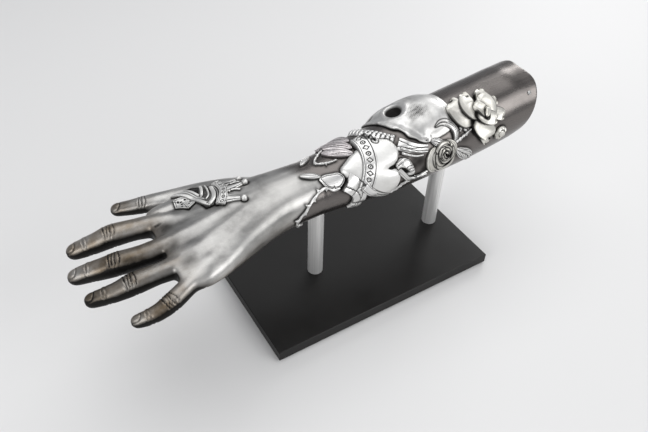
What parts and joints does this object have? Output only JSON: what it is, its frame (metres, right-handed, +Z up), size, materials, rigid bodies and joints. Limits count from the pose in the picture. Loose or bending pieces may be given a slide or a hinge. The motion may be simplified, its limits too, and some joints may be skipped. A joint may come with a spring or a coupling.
{
  "type": "prosthetic hand",
  "caption": "Left hand and hollow forearm in cast metal skin with raised floral ornament and an inner socket, lifting off a two-post display stand.",
  "frame": {"origin": "centre of the underside of the stand, on the felt under its plate", "axes": "+Z up; -X from the elbow towards the fingertips; the back of the hand faces +Z and the thumb is towards +Y"},
  "size_m": [0.54, 0.1762, 0.216],
  "materials": {
    "silvered_skin": "brushed silver with brass and dark patina towards the fingertips",
    "gunmetal_skin": "satin dark gunmetal",
    "bright_silver": "bright silver with blackened recesses",
    "brushed_steel": "fine lengthwise brushing",
    "satin_black": "satin black",
    "fastener": "satin",
    "bushing": "turned",
    "liner": "woven laminate",
    "felt": "felt"
  },
  "bodies": {
    "stand": {"base_pad": "felt", "base_plate": "satin_black", "front_post": "brushed_steel", "front_post_screw": "fastener", "rear_post": "brushed_steel", "rear_post_screw": "fastener"},
    "arm": {"back_petal": "bright_silver", "banner_curl": "bright_silver", "banner_fold": "bright_silver", "banner_tail_plate": "bright_silver", "bud_leaf": "bright_silver", "chevron_inner": "bright_silver", "chevron_outer": "bright_silver", "crescent_leaf": "bright_silver", "crown_band": "bright_silver", "crown_points": "bright_silver", "crown_rim": "bright_silver", "dice": "bright_silver", "far_trim_screw": "fastener", "fern_leaf": "bright_silver", "forearm_shell": "gunmetal_skin", "front_bush": "bushing", "hand": "silvered_skin", "heart": "bright_silver", "heart_banner": "bright_silver", "inner_socket": "liner", "joining_stem": "bright_silver", "large_rose": "bright_silver", "lower_petal": "bright_silver", "near_trim_screw": "fastener", "rear_bush": "bushing", "rose_stem": "bright_silver", "round_bud": "bright_silver", "scroll": "bright_silver", "side_leaf": "bright_silver", "skull": "bright_silver", "small_leaf": "bright_silver", "small_rose": "bright_silver", "small_rose_leaf": "bright_silver", "teeth_row": "bright_silver", "thorn_loop": "bright_silver", "thorn_vine": "bright_silver", "upper_petal": "bright_silver", "wrist_bolt": "fastener"}
  },
  "joints": [
    {"name": "arm_lift", "type": "slide", "parent": "stand", "child": "arm", "axis": [0, 0, 1], "range_m": [0, 0.12]}
  ]
}
